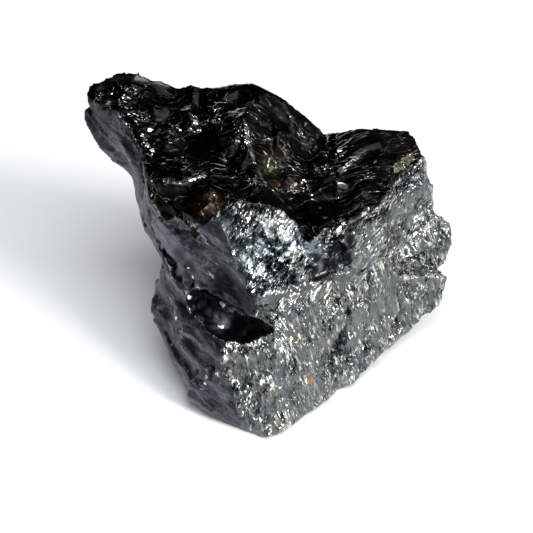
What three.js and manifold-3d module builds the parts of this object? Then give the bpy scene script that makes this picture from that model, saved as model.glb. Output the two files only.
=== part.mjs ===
// A nugget of noble shungite, a black glassy carbon stone, 50 mm across.
// Millimetres, +Z up. The stone lies on the flat fracture under it; the origin is the middle of its footprint.
// -Y is the front, where two fracture faces meet in an upright edge, and the horn points left (-X) and back.
import * as THREE from "three";
import { ConvexHull } from "three/addons/math/ConvexHull.js";
import { ImprovedNoise } from "three/addons/math/ImprovedNoise.js";
import { TessellateModifier } from "three/addons/modifiers/TessellateModifier.js";
import { mergeVertices } from "three/addons/utils/BufferGeometryUtils.js";
import Module from "manifold-3d";

const wasm = await Module();
wasm.setup();

// Driving dimensions.
const HEART = new THREE.Vector3(0, -1, 15); // every point of the stone's skin can be seen from here
const FACET_EDGE = 2.4; // longest edge of a facet before the hollows are cut
const LUMP = { size: 6, height: 0.55 };
const STEP = { size: 3, height: 0.3 };
const FOOT_CLEARANCE = 2; // the roughness fades out over this height, so that the foot stays flat

// The corners of the broken stone, region by region.
const CORNERS = {
  // The horn's far edge, then the notch and the hump, and the saddle before the right shoulder.
  skyline: [
    [-25.5, 17.5, 28], [-24.8, 19.2, 31], [-20.5, 20, 32.5], [-17, 19, 33], [-14.5, 17.5, 32.5],
    [-11.5, 17.5, 32.5], [-9, 17.2, 31.6], [-6, 17, 32], [-2, 16, 33], [0, 14.5, 32.7],
    [2.5, 14, 31.5], [5, 13, 29.7], [6.5, 12, 28.3], [8, 12.5, 27.3], [10, 11.5, 28],
    [13, 11, 29], [16, 10.5, 29], [19, 11, 28.5], [20, 10.5, 27.5],
  ],
  rightSide: [
    [21, 8, 26.5], [22, 7, 24.5], [23, 6, 22], [23, 6.5, 20.5], [23, 6, 18.5],
    [24, 5, 18], [25, 5, 17], [25.5, 4, 15], [24.8, 3.2, 12], [25.4, 1.8, 10.3],
    [25.5, 1.8, 7.8], [24.6, 1.7, 5.2],
  ],
  frontFoot: [
    [0, -20, 0.5], [2.3, -18.8, 0.4], [4.9, -15.9, 0.4], [8.4, -12.9, 0.7], [11.7, -9.8, 0.9],
    [14.5, -6.5, 1.5], [15, -6.5, 2.5], [17.5, -3, 2.5], [19.5, -1, 3], [21.5, 1.5, 3], [23, 2.5, 3.5],
  ],
  leftFoot: [
    [-2.3, -18.7, 0.5], [-5.4, -17.2, 1.1], [-7.4, -16.2, 1.2], [-9.3, -14.8, 1.7], [-10.8, -14.3, 2.1],
    [-11.8, -10.4, 3.5], [-13.2, -8, 5], [-14.2, -6, 6], [-15.7, -4.5, 8], [-16.3, -4, 9],
  ],
  leftSide: [
    [-25.5, 16.5, 26.5], [-24.6, 15.5, 25.8], [-24, 14.5, 24.2], [-22.8, 14, 22.6], [-21.2, 13.5, 21.8],
    [-19, 12.5, 20], [-18.5, 10, 18.5], [-17.5, 7.5, 17.5], [-17.2, 5, 17], [-16, 3.5, 15.5],
    [-14.3, 2, 14], [-14, 0.5, 13], [-15.5, -1.5, 11],
  ],
  hornRim: [
    [-25.2, 17.2, 29.5], [-23, 15.5, 30], [-20.5, 13.5, 30], [-18.5, 11, 29], [-17, 8.5, 28],
    [-16.5, 5, 27], [-16, 2.5, 25.5], [-16, 1, 24.5],
  ],
  top: [
    [-19, 17, 31], [-14, 15.5, 30.5], [-9.5, 14.5, 30], [-9.5, 11, 29.5], [-14, 11.5, 29], [-14.5, 6.5, 27.5],
    [-10.5, 8, 27.5], [-13.5, 1, 27], [-8, 2, 27], [-15, 0, 24.5], [-11.5, -1.5, 24.5],
    [-7, -1.5, 26], [-5.5, 11, 31], [-3, 9, 31.5], [-3, 6, 30], [-2, 3.5, 28.5],
    [-0.5, -0.5, 27.5], [-6, 6.5, 28.5], [-4, 1.5, 27], [2, 9.5, 30.5], [5.5, 9.5, 27.5],
    [1, 6, 27.5], [1, 3, 26], [4, 6.5, 26.5],
  ],
  notch: [
    [3.5, -1.5, 25], [5, 2, 25], [8.5, 3, 26.5], [13.5, -1.5, 25.5], [10.5, -4.5, 25],
    [8.5, -6, 24.5], [6.5, -6.5, 23.5], [5, -5, 24.5],
  ],
  shoulder: [
    [7, 9.5, 26.5], [10.5, 8, 27.5], [14.5, 7, 28], [18, 8, 27.5], [10, 4.5, 27],
    [14.5, 3.5, 27], [17, 4.5, 27],
  ],
  frontRidge: [
    [10, -5, 25], [12.5, -3.5, 25.5], [14.5, -2, 25.5], [16, 1.5, 25.5], [18, 5.5, 26], [20, 8, 26.5],
  ],
  bulge: [
    [-9.5, -3.5, 24.5], [-7, -2.5, 25.5], [-4, -3, 26.5], [-0.5, -4.5, 27], [2, -5, 26.5],
    [3.5, -6, 25.5], [-7.5, -4, 23.5], [-5.5, -5.5, 22.5], [-4, -8, 20.5], [-2.5, -9.5, 18.5],
    [-1.5, -11, 17], [0, -12.5, 15], [-3.5, -7, 23], [-0.5, -7.5, 22.5], [-2, -6, 25], [1, -6, 26],
    [2.5, -7.5, 24], [4.5, -6.5, 21.5], [7.5, -6.5, 21.5], [10.5, -7, 22], [1, -8, 20], [4.5, -7.5, 19.5],
    [8, -6.5, 19.5], [11, -5.5, 20.5],
  ],
  hornUnderside: [
    [-24.5, 17, 28], [-23, 14.5, 27.5], [-20.5, 12, 27], [-21, 12.5, 24.5], [-19.5, 11, 25],
    [-18.5, 11, 21], [-17.5, 9, 22.5], [-17, 6, 20.5], [-16, 4, 23],
  ],
  leftFace: [
    [-14.5, -1, 23], [-15.5, 0.5, 20.5], [-12, -2.5, 22.5], [-9.5, -4, 22], [-7, -5.5, 21],
    [-13.5, -2.5, 19.5], [-11, -4.5, 20], [-8.5, -6, 19], [-5.5, -7, 18], [-11.5, -5, 17.5],
    [-9, -6.5, 16], [-6, -8, 16], [-3.5, -9.5, 15.5], [-13.5, -3, 16], [-12, -5, 14.5], [-10.5, -7, 13.5],
    [-13.5, -4.5, 11.5], [-12, -8, 10.5], [-9.5, -9.5, 11], [-7, -12, 12], [-14.5, -5.5, 9], [-11.5, -10, 8],
    [-9, -12, 8.5], [-10, -13, 5.5], [-7.5, -14.5, 6], [-5.5, -16.5, 3.5], [-8, -15, 3],
  ],
  frontEdge: [
    [-0.5, -12, 18], [1, -14.5, 14], [1.5, -15.5, 11], [0.5, -17, 7.5], [0, -18.5, 4],
    [-1.5, -13, 13.5], [-4, -13, 12], [-5.5, -13.5, 11], [-2, -14, 11.5], [-6, -14.5, 9.5], [-2, -15.5, 8.5],
    [-5, -15.5, 7.5], [-3.5, -16.5, 5.5], [-1.5, -17.5, 5], [-3.5, -18, 3],
  ],
  rightFace: [
    [2, -11, 18], [4.5, -9.5, 18.5], [8.5, -8, 18], [11.5, -6, 18], [4.5, -11.5, 15.5], [8.5, -9.5, 15],
    [13, -3.5, 20], [15, -1.5, 23], [16, -1.5, 19.5], [18, 2, 23.5], [18.5, 1, 18.5], [21, 4.5, 20.5],
    [22.5, 2, 16], [12.5, -6, 14.5], [17, -2, 13.5], [20.5, 2, 12.5], [23.5, 3.5, 10.5], [4.5, -13, 12],
    [8.5, -10, 10.5], [11.5, -8, 9.5], [13.5, -6, 8.5], [20.5, 1, 7], [4, -14.5, 8.5], [6.5, -12, 9],
    [9.5, -9.5, 5], [12, -8, 5.5], [15, -5, 5], [17, -3, 4.5], [3, -16, 4.5], [6, -13.5, 4.5],
  ],
  foot: [
    [0, -18.5, 0], [4.4, -15, 0], [9.9, -9.9, 0], [14, -5, 0], [18.5, 0.5, 0],
    [19.5, 6, 0], [15.5, 11.5, 0], [8, 14, 0], [-2, 14.5, 0], [-8.5, 11.5, 0],
    [-12, 6, 0], [-12.5, -1, 0], [-11, -7, 0], [-9, -13, 0], [-5, -16.5, 0], [3, -2, 0],
  ],
  back: [
    [-23.5, 18, 27], [-21, 17, 23.5], [-18, 16, 20.5], [-17, 12, 18.5], [-15.5, 9.5, 16],
    [-14, 7, 12.5], [-14.5, 3, 8], [-14, 6, 4],
    [-19, 19.5, 26], [-14.5, 18, 19], [-12, 17.5, 11], [-10.5, 15, 4], [-9, 18, 29], [-9, 18, 25],
    [-6, 19, 22], [-5, 20, 12], [-3, 17.5, 4], [2, 17.5, 24], [3, 19, 14], [5, 17, 5], [9, 15.5, 20], [12, 16.5, 11],
    [13, 14.5, 4], [16, 14, 22], [19.5, 12.5, 15], [20, 10.5, 6],
    [22, 9, 20.5], [24.5, 8, 16], [24, 7.5, 12.5], [23.5, 6.5, 8],
  ],
};

// Flat fractures of the back, which meet in ridges: a middle, the way it faces and how far it reaches.
const FLATS = [
  { at: [1.5, 17, 21.5], facing: [0.14, 0.98, 0.12], reach: 10 },
  { at: [14.2, 14, 22], facing: [0.55, 0.82, 0.14], reach: 9 },
  { at: [-9.3, 18, 22.5], facing: [-0.27, 0.95, -0.12], reach: 8.5 },
  { at: [6.6, 16.3, 12.5], facing: [0.32, 0.94, -0.06], reach: 10 },
  { at: [-4.5, 17.9, 11], facing: [-0.16, 0.96, -0.22], reach: 9 },
  { at: [17.6, 11.8, 14], facing: [0.7, 0.71, -0.06], reach: 9 },
  { at: [12, 14.2, 6], facing: [0.42, 0.8, -0.42], reach: 9 },
  { at: [-1, 16.4, 5.3], facing: [0.04, 0.88, -0.47], reach: 9 },
  { at: [-11.3, 14.2, 10.5], facing: [-0.62, 0.74, -0.24], reach: 9 },
  { at: [-14.2, 4, 9], facing: [-0.94, 0.26, -0.22], reach: 9 },
  { at: [20.8, 7.8, 7.4], facing: [0.8, 0.48, -0.36], reach: 6.5 },
  { at: [-8.8, 14.4, 4.8], facing: [-0.42, 0.72, -0.55], reach: 8 },
];

// Hollows broken out of the stone, each an ellipsoid: its middle, its half lengths (along, across, deep),
// the way it runs and the way it faces. The glassy cavity is one smooth hollow drawn tight round its four.
const CAVITY = [
  { at: [-8.7, -8.5, 13.9], half: [2.6, 1.8, 2.8], along: [0.8, -0.58, -0.1], facing: [-0.6, -0.7, 0.4] },
  { at: [-6, -11.1, 12.8], half: [2.4, 1.8, 2.9], along: [0.9, -0.4, 0], facing: [-0.5, -0.75, 0.4] },
  { at: [-3.6, -12.9, 13.4], half: [2.8, 1.8, 3.1], along: [0.95, -0.25, 0.2], facing: [-0.4, -0.8, 0.45] },
  { at: [0.5, -14.6, 14.5], half: [0.7, 0.4, 0.7], along: [0.95, -0.25, 0.2], facing: [-0.4, -0.8, 0.45] },
];
const HOLLOWS = {
  crack: [
    { at: [-14, -0.8, 17.2], half: [5.4, 0.45, 1.4], along: [6, -8.4, -2.4], facing: [-0.8, -0.6, 0] },
    { at: [-12.4, -3.2, 16.6], half: [2.9, 0.9, 1.2], along: [2, -2.1, -1.8], facing: [-0.75, -0.66, 0] },
  ],
  // Shallow shells of glassy fracture, side by side, with ridges left between them.
  topShells: [
    { at: [-14.5, 15, 34.6], half: [8, 4.5, 4.6], along: [1, -0.3, 0], facing: [0.1, -0.2, 1] },
    { at: [-15, 8, 31.6], half: [5, 3.6, 4], along: [0.4, -1, -0.2], facing: [-0.1, -0.1, 1] },
    { at: [-9.8, 5.6, 31.8], half: [5, 3.8, 4], along: [0.7, -1, -0.1], facing: [0.1, -0.1, 1] },
    { at: [-5, 4, 32], half: [5, 3.4, 4], along: [0.5, 1, 0.3], facing: [-0.2, -0.3, 1] },
    { at: [2.4, 2.8, 29.6], half: [5, 4.4, 4], along: [0.5, -1, 0], facing: [0.2, -0.1, 1] },
    { at: [5.4, 8, 29.6], half: [5, 2.4, 3], along: [0.15, 1, 0.2], facing: [0.2, -0.3, 1] },
    { at: [2.5, 10.5, 34], half: [6, 2.8, 4.2], along: [0.9, -0.8, -0.6], facing: [0.45, -0.45, 0.78] },
    { at: [-4.5, 12.5, 35.5], half: [5, 3.4, 4.4], along: [1, 0.2, 0], facing: [-0.2, -0.45, 0.9] },
    { at: [8.6, -1.8, 28.8], half: [6, 4, 4.6], along: [1, 0.2, 0], facing: [0, -0.2, 1] },
    { at: [14, 5.6, 31.6], half: [7, 4, 4.4], along: [1, 0.2, 0], facing: [-0.1, -0.2, 1] },
    { at: [-11.4, -2.6, 28], half: [5.6, 2.6, 3.4], along: [1, 0.1, 0.05], facing: [-0.2, -0.7, 0.7] },
  ],
  shelf: [
    { at: [9.2, -7.3, 20.4], half: [2.6, 1.4, 1.5], along: [0.3, 0.1, 1], facing: [0.3, -0.9, 0.2] },
  ],
  rightFace: [
    { at: [20.5, 0.6, 14], half: [3, 0.9, 1.6], along: [1, 0.95, -0.15], facing: [0.6, -0.8, 0] },
    { at: [17.8, -3, 4.6], half: [1.2, 0.8, 1], along: [1, 0.7, 0.5], facing: [0.58, -0.8, 0.18] },
    { at: [11.4, -8.2, 9.4], half: [2.4, 0.7, 1], along: [-0.1, 0.2, 1], facing: [0.56, -0.8, 0.19] },
    { at: [9.7, -9.9, 5.1], half: [1.5, 0.7, 0.9], along: [0.1, 0.2, 1], facing: [0.52, -0.83, 0.22] },
  ],
  leftFace: [
    { at: [-14.6, -6.4, 12], half: [3.4, 2, 2.2], along: [-0.2, 0.3, 1], facing: [-0.8, -0.6, 0] },
    { at: [-8.2, -14.2, 8], half: [2.6, 1.2, 1.5], along: [0.3, -0.2, -1], facing: [-0.4, -0.8, 0.3] },
  ],
  // Flakes struck off the back, each deeper at one end.
  back: [
    { at: [8.8, 16.9, 20.4], half: [5.6, 4, 1.8], along: [0.6, -0.2, 1], facing: [0.1, 0.97, 0.32] },
    { at: [-6.8, 19.3, 16], half: [6, 3.2, 1.8], along: [1, 0.2, 0.5], facing: [-0.32, 0.95, 0.06] },
    { at: [-15, 9.8, 12.6], half: [4.8, 3, 1.7], along: [0.1, 0.5, 1], facing: [-0.95, 0.35, -0.2] },
  ],
};

// The stone's net: neighbouring corners are those joined on the hull of their directions from the heart.
function cornerNet() {
  const corners = Object.values(CORNERS).flat().map((c) => new THREE.Vector3(...c));
  const directions = corners.map((c) => c.clone().sub(HEART).normalize());
  const cornerOf = new Map(directions.map((d, i) => [d, corners[i]]));
  const positions = [];
  for (const face of new ConvexHull().setFromPoints(directions).faces) {
    let edge = face.edge;
    do {
      positions.push(...cornerOf.get(edge.head().point).toArray());
      edge = edge.next;
    } while (edge !== face.edge);
  }
  return new THREE.BufferGeometry().setAttribute("position", new THREE.Float32BufferAttribute(positions, 3));
}

// Shared vertices, with only their positions left.
function merged(geometry, tolerance = 1e-3) {
  const bare = geometry.clone();
  bare.deleteAttribute("normal");
  bare.deleteAttribute("uv");
  return mergeVertices(bare, tolerance);
}

// Small facets: every edge is halved until none is longer than FACET_EDGE.
function facetted(geometry) {
  return merged(new TessellateModifier(FACET_EDGE, 24).modify(geometry));
}

// Lumps and small broken steps, in or out along the line from the heart.
function roughen(geometry) {
  const noise = new ImprovedNoise();
  const position = geometry.attributes.position;
  for (let i = 0; i < position.count; i += 1) {
    const point = new THREE.Vector3().fromBufferAttribute(position, i);
    const lump = noise.noise(...point.clone().divideScalar(LUMP.size).toArray());
    const stepPlace = point.clone().divideScalar(STEP.size).addScalar(40);
    const step = 0.5 - Math.abs(noise.noise(...stepPlace.toArray()));
    const outward = point.clone().sub(HEART).normalize();
    const fade = THREE.MathUtils.smoothstep(point.z, 0, FOOT_CLEARANCE);
    point.addScaledVector(outward, fade * (LUMP.height * lump + STEP.height * (step - 0.25)));
    position.setXYZ(i, point.x, point.y, point.z);
  }
  return geometry;
}

// Each flat draws in what stands out past its plane near its middle, less and less towards its reach.
function flatten(geometry) {
  const position = geometry.attributes.position;
  for (let i = 0; i < position.count; i += 1) {
    const point = new THREE.Vector3().fromBufferAttribute(position, i);
    for (const { at, facing, reach } of FLATS) {
      const middle = new THREE.Vector3(...at);
      const out = new THREE.Vector3(...facing);
      const kept = middle.clone().sub(HEART).dot(out) / point.clone().sub(HEART).dot(out);
      const near = 1 - THREE.MathUtils.smoothstep(point.distanceTo(middle), 0.75 * reach, reach);
      const fade = near * THREE.MathUtils.smoothstep(point.z, 0, FOOT_CLEARANCE);
      if (kept > 0 && kept < 1) point.lerp(HEART, fade * (1 - kept));
    }
    position.setXYZ(i, point.x, point.y, point.z);
  }
  return geometry;
}

function solid(geometry) {
  const closed = merged(geometry);
  return new wasm.Manifold(
    new wasm.Mesh({
      numProp: 3,
      vertProperties: new Float32Array(closed.attributes.position.array),
      triVerts: new Uint32Array(closed.index.array),
    }),
  );
}

function hollowSolid({ at, half, along, facing }) {
  const deep = new THREE.Vector3(...facing).normalize();
  const across = deep.clone().cross(new THREE.Vector3(...along)).normalize();
  const run = across.clone().cross(deep);
  const turn = new THREE.Matrix4().makeBasis(run, across, deep);
  const ellipsoid = new THREE.SphereGeometry(1, 16, 10).scale(...half).applyMatrix4(turn).translate(...at);
  return solid(ellipsoid);
}

let stone = solid(flatten(roughen(facetted(cornerNet()))));
stone = stone.subtract(wasm.Manifold.hull(CAVITY.map(hollowSolid)));
for (const hollow of Object.values(HOLLOWS).flat()) {
  stone = stone.subtract(hollowSolid(hollow));
}
const { vertProperties, triVerts } = stone.getMesh();

const nugget = new THREE.Mesh(
  new THREE.BufferGeometry()
    .setAttribute("position", new THREE.BufferAttribute(vertProperties, 3))
    .setIndex(new THREE.BufferAttribute(triVerts, 1)),
  new THREE.MeshStandardMaterial({ color: 0x3c3e42, roughness: 0.3, metalness: 0.6 }),
);
nugget.name = "nugget";

const group = new THREE.Group();
group.add(nugget);
export default group;
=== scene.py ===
"""The look of a nugget of noble shungite: a black, glassy, metallic carbon stone about 50 mm long.

The stone's form comes from its CAD solid. Here its skin gets the fracture relief of each region and one
procedural material. Lengths are in millimetres until a mesh is filled, and in metres from there on.
"""
import math
from types import SimpleNamespace

import bmesh
import bpy
import numpy as np
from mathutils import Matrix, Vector


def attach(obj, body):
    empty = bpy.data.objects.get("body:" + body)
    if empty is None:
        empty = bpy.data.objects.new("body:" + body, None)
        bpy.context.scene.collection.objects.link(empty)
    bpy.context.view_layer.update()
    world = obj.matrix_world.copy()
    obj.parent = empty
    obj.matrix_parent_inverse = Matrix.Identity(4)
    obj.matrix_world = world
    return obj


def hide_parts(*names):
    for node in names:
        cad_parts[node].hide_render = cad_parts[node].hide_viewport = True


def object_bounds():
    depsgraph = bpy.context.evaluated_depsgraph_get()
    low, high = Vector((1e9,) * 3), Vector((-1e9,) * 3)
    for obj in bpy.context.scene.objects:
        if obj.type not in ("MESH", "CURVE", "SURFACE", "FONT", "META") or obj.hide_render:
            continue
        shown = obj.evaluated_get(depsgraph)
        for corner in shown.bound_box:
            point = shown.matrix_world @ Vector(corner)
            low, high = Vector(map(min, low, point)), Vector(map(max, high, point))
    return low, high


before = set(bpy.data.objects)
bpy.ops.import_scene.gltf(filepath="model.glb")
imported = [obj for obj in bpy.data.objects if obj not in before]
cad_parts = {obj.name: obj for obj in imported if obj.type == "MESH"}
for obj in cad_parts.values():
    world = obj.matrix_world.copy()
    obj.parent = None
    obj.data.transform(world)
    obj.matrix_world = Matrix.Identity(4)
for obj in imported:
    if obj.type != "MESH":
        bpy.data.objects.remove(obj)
cad_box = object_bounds()

MM = 0.001
SKIN_STEP = 0.29  # between neighbouring points of the skin
SOFTENING_ROUNDS = 5
SMOOTHING_ROUNDS = 30  # for the cavity's wall
BROAD_ROUNDS = 12  # for the broad form under the relief
FOOT_HEIGHT = 0.05  # points below this rest on the floor
FOOT_FADE = 1.5  # the relief grows to its full height over this much of the stone's own
CAVITY_TEAR, LIP_TEAR = 0.42, 0.5  # how far the cavity's rim and the torn lips wander
CAVITY_CALM = 0.88  # how much of the relief the cavity loses
# By how far a point stands out of the broad form, edges are painted lighter as painted highlights and
# hollows darker as painted shade.
EDGE_HEIGHT = 0.15  # a point this far out of the broad form counts as an edge

# The rim of the glassy top, seen from above, as x and y. What is behind it and high up is glassy fracture.
TOP_RIM = (
    (-26, 18.5), (-23, 15.5), (-20.5, 13.5), (-18.5, 11), (-17, 8), (-16.3, 2), (-15.5, -1), (-12, -2),
    (-9.5, -4), (-7, -3.4), (-4, -2.6), (-0.5, -3.6), (2, -4.3), (4, -5.6), (6.5, -6.5), (10, -5),
    (14.5, -2), (16, 1.2), (18, 4.8), (20.5, 7), (23, 11),
)
TOP_FLOOR = 21.5  # the glassy top lies above this height

# The seam between the satin left face and the sparkling front, as height and x.
FACE_SEAM = (
    (0, -2.5), (3, -3.3), (5, -4.6), (7.5, -5.8), (11, -6.2), (12.5, -3), (14.5, 0), (18.5, -3), (22.5, -5),
    (26, -8.5),
)

# The glassy cavity: ellipsoids strung from its upper left end to its lower right tip, each with its middle
# and its half lengths along, across and deep.
CAVITY = (
    ((-8.7, -8.5, 13.9), (2.6, 1.8, 2.8)), ((-6, -11.1, 12.8), (2.4, 1.8, 2.9)),
    ((-3.6, -12.9, 13.4), (2.8, 1.8, 3.1)), ((0.5, -14.6, 14.5), (0.7, 0.4, 0.7)),
)
CAVITY_RUN = ((0.9, -0.4, 0.0), (-0.5, -0.75, 0.4))
CAVITY_BEADS = 19

# The crack beside the cavity, whose lips are torn.
CRACK = ((-17.5, 4.0, 18.6), (-14.0, -0.8, 17.2), (-10.6, -5.4, 15.6))

# The dark hollow between the bulge and the right face, whose rim is torn: middle, half width.
FRONT_HOLLOW = ((9.2, -6.6, 20.6), 3.6)

# Where the front's grain changes its way: height, rise of that height towards the right, and how far the
# change of the fine grain reaches up and down from there.
GRAIN_TURN = 15.0
GRAIN_TURN_RISE = 0.1
GRAIN_TURN_REACH = 4.0
SHOULDER_START = 9.5  # the right shoulder's hackles run another way from this x on

# How the fracture runs in each finish: along, then the way that the face showing it best looks.
GRAIN_LOW = ((0.23, 0.0, -0.97), (0.69, -0.70, 0.17))
GRAIN_HIGH = ((0.6, 0.76, 0.68), (0.69, -0.70, 0.17))
SATIN_RUN = ((0.64, -0.73, -0.24), (-0.7, -0.66, 0.2))
PLATE_RUN = ((-0.1, -0.5, -1.0), (0.1, -0.95, 0.3))
GLASS_RUN = ((1.0, -0.16, -0.76), (0.5, -0.45, 0.75))
SHOULDER_RUN = ((1.0, 0.3, 0.1), (-0.1, -0.2, 1.0))
BULGE_RUN = ((1.0, -0.6, -0.8), (0.0, -0.85, 0.5))

# How much longer than wide the relief is, along, across and outwards, and the sizes of its scars.
GRAIN_LENGTHS = (2.4, 1, 1)
FOLD_LENGTHS = (3.5, 1, 1)
HACKLE_LENGTHS = (1.6, 1, 1)
SHELL_SIZE = 4.4
SCAR_MEAN = 0.35  # of the height that scars gives
RIDGE_HEIGHT = 0.05 * MM  # of the fine raised lines
FAN_WIDTH = 0.09  # of the hackles that fan out, in radians

# Single crests (height above nought) and creases (below): the line, then height and half width.
CRESTS = (
    (((-3, 9, 31.5), (-2.5, 6.5, 29.5), (-1.5, 3.5, 27.5), (0.5, 0, 26.5), (3, -2, 25)), 0.45, 0.9),
    (((-13.4, 1, 27), (-10.7, 1, 27), (-8, 2.4, 27)), 0.45, 0.8),
    (((5.8, 2.4, 25.4), (7.4, 2.6, 26.2), (9.4, 2.3, 26.4), (11.2, 0.2, 25.8), (12.7, -2, 25.4)), 0.2, 0.4),
    (((12.0, 6.3, 27.4), (10.5, 4.4, 27.1), (10.2, 3.0, 26.7)), 0.2, 0.45),
    (((8, 12.5, 27), (5.2, 5, 26), (3, -1.2, 25)), -0.35, 1.0),
    (((-0.3, -10.6, 18.7), (4.4, -9.1, 18.5), (10.4, -6.2, 18.2)), -0.4, 1.2),
    (((1.4, -15.2, 12), (1.8, -15.9, 9.2)), -0.3, 0.5),
    (((-17.8, 6.5, 20.5), (-17.3, 4.2, 18.4), (-16.0, 2.2, 18.2)), -0.5, 0.6),
    (((-11.6, -4.4, 16.2), (-10.8, -5.2, 14.9), (-11.4, -5.8, 13.0)), -0.5, 0.55),
    (((10.0, -5.4, 22.4), (9.3, -6.0, 20.6), (8.3, -6.8, 18.8), (6.5, -8.0, 17.8)), -0.4, 1.5),
    (((9.2, -6.0, 24.0), (10.8, -4.4, 24.5), (12.9, -3.0, 24.8), (15.2, -0.8, 24.6)), 0.45, 0.7),
)

# Single pits: middle, half width and depth.
PITS = (
    ((0.9, 4.6, 26.4), 2.2, 0.5), ((10.9, -7.9, 11.9), 0.9, 0.7), ((10.2, -8.8, 8.9), 0.9, 0.7),
    ((9.4, -9.4, 7.3), 1.1, 0.8), ((9.0, -9.9, 5.4), 0.8, 0.6), ((13.6, -6.3, 5.7), 0.8, 0.6),
    ((13.9, -7.1, 3.6), 0.8, 0.6), ((18.1, -1.7, 5.0), 1.0, 0.7), ((17.3, -2.9, 3.6), 0.8, 0.6),
    ((-9.4, -13.0, 6.0), 0.6, 0.4),
)

# Stains of the whole stone, and warmer places of the black glass: middle, half width.
RUST = (((1.0, 2.3, 26.0), 1.3), ((5.9, -13.6, 5.0), 0.8))
BROWN = (((-8.7, -2.2, 25.5), 1.8), ((-7.3, -2.4, 25.9), 1.8), ((-5.9, -2.1, 26.3), 1.4))
OLIVE = (((0.9, 4.6, 26.4), 2.8),)
HAZE = (
    ((3.2, 2.8, 25.4), 3.6), ((1.0, 5.5, 27.0), 3.0), ((13.0, 7.0, 28.0), 4.5), ((-9.5, 5.5, 28.0), 3.5),
    ((-0.9, -1.8, 27.1), 1.5), ((20.2, 10.2, 27.4), 2.0),
)
STRAW = (
    ((17.4, 5.0, 26.5), 0.95), ((18.1, 5.9, 26.4), 1.05), ((18.8, 6.7, 26.5), 1.05),
    ((19.5, 7.5, 26.6), 0.95),
)

# Calm places without hackles or flakes: middle, half width. The first six are in the black glass.
CALM = (
    ((7.8, -3.2, 24.6), 4.4), ((-11.0, -1.5, 25.5), 3.5), ((14.0, 8.0, 28.0), 3.5),
    ((-8.0, 7.0, 28.5), 4.0), ((1.0, 13.3, 31.5), 3.5), ((3.5, 10.0, 30.0), 3.0), ((6.4, -6.6, 22.4), 2.1),
    ((6.8, -7.0, 20.2), 1.5), ((6.6, -9.3, 16.6), 2.2), ((10.0, -7.4, 16.6), 2.0), ((12.8, -6.4, 9.8), 1.8),
    ((15.0, -4.4, 9.7), 2.0), ((17.0, -2.3, 9.5), 1.5), ((11.8, -7.9, 7.0), 1.5), ((0.5, -11.8, 17.3), 1.5),
    ((2.6, -11.2, 17.3), 2.0), ((4.4, -9.8, 17.8), 1.8), ((7.4, -8.0, 17.7), 1.6), ((17.5, 1.0, 22.0), 1.5),
)

# Clusters of bright flakes on the black glass and its rims, and on the front: middle, half width.
CLUSTERS = (
    ((-23.4, 17.2, 30.6), 1.6), ((-15.5, 13.0, 29.5), 1.3), ((-9.7, 11.4, 29.7), 1.8),
    ((-6.7, 8.1, 28.9), 1.1), ((-15.5, 1.8, 25.4), 1.5), ((15.4, 1.9, 26.1), 1.6),
    ((20.0, 10.0, 27.4), 1.2), ((4.5, 10.2, 28.6), 1.7), ((7.1, 12.3, 28.0), 1.6), ((8.8, 4.9, 26.8), 1.3),
    ((5.6, 2.2, 25.2), 1.0), ((15.3, 7.3, 28.0), 1.5), ((-13.4, 1.3, 27.2), 1.0), ((-16.7, 9.6, 28.4), 1.8),
    ((-15.9, 8.2, 27.9), 1.6), ((-23.5, 16.0, 29.0), 2.5), ((14.4, -3.7, 17.3), 2.0),
    ((13.4, -4.9, 16.0), 1.8), ((14.6, -5.1, 6.6), 1.5), ((18.0, 0.0, 11.0), 2.2), ((2.5, -14.0, 9.5), 2.5),
    ((5.5, -12.0, 11.5), 2.5), ((17.5, 3.5, 24.5), 2.0), ((19.5, 5.0, 20.0), 2.5),
    ((15.0, -1.5, 21.5), 1.8),
)

# The bulge under the top's front rim, whose brightest flakes are painted glints, bluish-white as a painted
# sky reflection, and its brightest bluish flakes, where painted glare is added.
BULGE = (((0.0, -7.5, 22.0), 5.5), ((4.0, -7.5, 23.0), 3.5), ((-2.5, -9.5, 18.5), 3.0))
GLARE = (
    ((3.4, -6.9, 23.6), 1.9), ((3.3, -7.0, 22.0), 1.3), ((0.2, -5.8, 26.0), 1.3), ((1.4, -7.4, 22.6), 0.9),
    ((-0.7, -7.1, 22.9), 1.3), ((1.1, -7.7, 20.9), 1.3), ((-2.8, -5.5, 24.6), 0.8),
    ((-2.2, -7.7, 21.3), 1.6), ((-0.8, -8.8, 19.6), 1.6), ((-4.2, -5.5, 23.8), 0.9),
    ((-2.5, -6.3, 24.2), 0.9),
)

# Places of the black glass ruled with fine, straight striations: middle, half width.
RULED = (
    ((-1.2, 11.0, 31.4), 3.2), ((0.5, 9.9, 29.9), 3.0), ((3.6, 10.2, 28.9), 2.4), ((13.0, 9.0, 28.2), 4.0),
    ((15.0, 6.0, 27.8), 2.6), ((-9.8, 10.8, 29.4), 2.0), ((-1.4, 3.0, 27.6), 2.2), ((0.2, 0.4, 26.6), 1.8),
)

# Places of the sparkling and the satin faces painted brighter, as painted light: middle, half width.
PAINTED_LIGHT_PLACES = (
    ((22.3, 4.0, 18.6), 2.4), ((18.0, 1.5, 21.2), 2.2), ((0.2, -3.6, 26.8), 1.6),
    ((-2.0, -13.9, 11.9), 1.7), ((2.0, -14.7, 12.1), 2.0), ((19.3, 2.7, 19.7), 1.8),
    ((-0.7, -15.9, 8.7), 1.5), ((14.6, -3.5, 17.8), 1.6), ((-9.1, -10.0, 10.9), 1.8),
)

# The shelf between the bulge and the right face, painted a flat gray over its flakes as painted shade:
# middle, half width.
SHELF = (
    ((2.1, -11.8, 17.0), 2.3), ((3.2, -11.4, 16.2), 1.8), ((4.0, -10.4, 17.5), 2.3),
    ((5.3, -9.3, 17.9), 2.0), ((6.6, -8.6, 17.8), 2.3), ((8.4, -7.4, 17.6), 1.8),
)

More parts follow.
